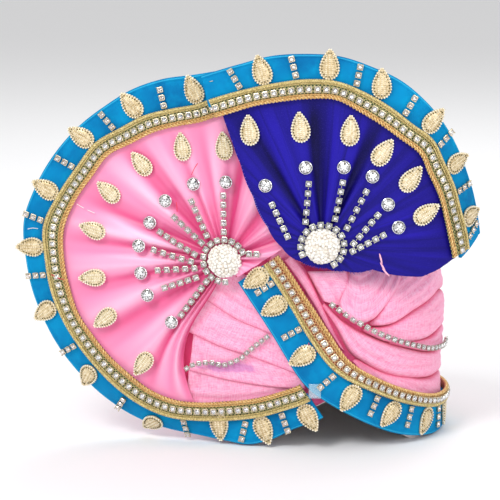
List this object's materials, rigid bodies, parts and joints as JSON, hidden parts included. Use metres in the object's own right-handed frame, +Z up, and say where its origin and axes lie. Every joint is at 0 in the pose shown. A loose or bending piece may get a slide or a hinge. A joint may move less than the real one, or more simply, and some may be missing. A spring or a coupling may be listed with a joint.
{
  "type": "tied turban pagri",
  "caption": "Ready-tied turban with a hollow cap wound in pink cotton, two pleated satin fans, velvet borders, gold lace, pearls and cup chain.",
  "frame": {"origin": "centre of the head opening, on the plane of the cap's rim", "axes": "+Z up out of the cap's top, +X to the viewer's right along the two fans, the fans face -Y"},
  "size_m": [0.1999, 0.1145, 0.1728],
  "materials": {
    "buckram": "stiffened plain weave",
    "cotton": "matt plain weave",
    "pink_satin": "satin",
    "blue_satin": "satin",
    "velvet": "velvet",
    "gold_lace": "metallic thread and cups",
    "pearl": "pearlescent",
    "crystal": "cut, in metal cups"
  },
  "bodies": {
    "root": {"big_fold_lower": "cotton", "big_fold_upper": "cotton", "blue_border": "velvet", "blue_burst": "crystal", "blue_fan": "blue_satin", "blue_lace": "gold_lace", "blue_pearls": "pearl", "blue_round_stone_1": "crystal", "blue_round_stone_2": "crystal", "blue_round_stone_3": "crystal", "blue_round_stone_4": "crystal", "blue_round_stone_5": "crystal", "blue_round_stone_6": "crystal", "blue_small_patch_1": "gold_lace", "blue_small_patch_2": "gold_lace", "blue_small_patch_3": "gold_lace", "blue_small_patch_4": "gold_lace", "blue_small_patch_5": "gold_lace", "blue_small_patch_6": "gold_lace", "cap_shell": "buckram", "fold_under_fan": "cotton", "front_band": "velvet", "front_band_lace": "gold_lace", "left_chain": "crystal", "left_side_roll": "cotton", "panel_fold_1": "cotton", "panel_fold_2": "cotton", "panel_fold_3": "cotton", "panel_fold_4": "cotton", "pink_border": "velvet", "pink_burst": "crystal", "pink_fan": "pink_satin", "pink_lace": "gold_lace", "pink_pearls": "pearl", "pink_round_stone_1": "crystal", "pink_round_stone_2": "crystal", "pink_round_stone_3": "crystal", "pink_round_stone_4": "crystal", "pink_round_stone_5": "crystal", "pink_round_stone_6": "crystal", "pink_round_stone_7": "crystal", "pink_round_stone_8": "crystal", "pink_small_patch_1": "gold_lace", "pink_small_patch_2": "gold_lace", "pink_small_patch_3": "gold_lace", "pink_small_patch_4": "gold_lace", "pink_small_patch_5": "gold_lace", "pink_small_patch_6": "gold_lace", "pink_small_patch_7": "gold_lace", "pink_small_patch_8": "gold_lace", "right_chain": "crystal", "roll_beside_lace": "cotton", "top_fold_1": "cotton", "top_fold_2": "cotton", "top_fold_3": "cotton", "wrap_turn_1": "cotton", "wrap_turn_2": "cotton", "wrap_turn_3": "cotton", "wrap_turn_4": "cotton"}
  },
  "joints": []
}
